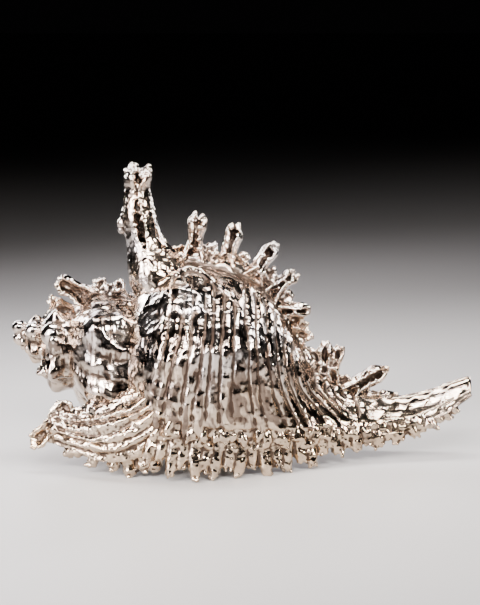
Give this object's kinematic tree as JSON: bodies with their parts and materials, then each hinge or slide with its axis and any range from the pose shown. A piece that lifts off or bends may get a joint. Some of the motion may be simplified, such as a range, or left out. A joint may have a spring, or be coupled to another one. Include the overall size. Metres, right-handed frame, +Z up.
{
  "type": "murex shell ornament",
  "caption": "Silver-plated murex shell: knobbed spire, ribbed body whorl, folded spines along its varices, frilled outer lip and an upturned siphonal canal, lying on its aperture.",
  "frame": {"origin": "on the surface the shell lies on, under the middle of its box", "axes": "+X from the spire to the tip of the siphonal canal, +Z up, the outer lip towards -Y"},
  "size_m": [0.1999, 0.1005, 0.1277],
  "materials": {
    "silver": "polished silver plate, slightly warm, with darker hollows"
  },
  "bodies": {
    "root": {"shell": "silver"}
  },
  "joints": []
}
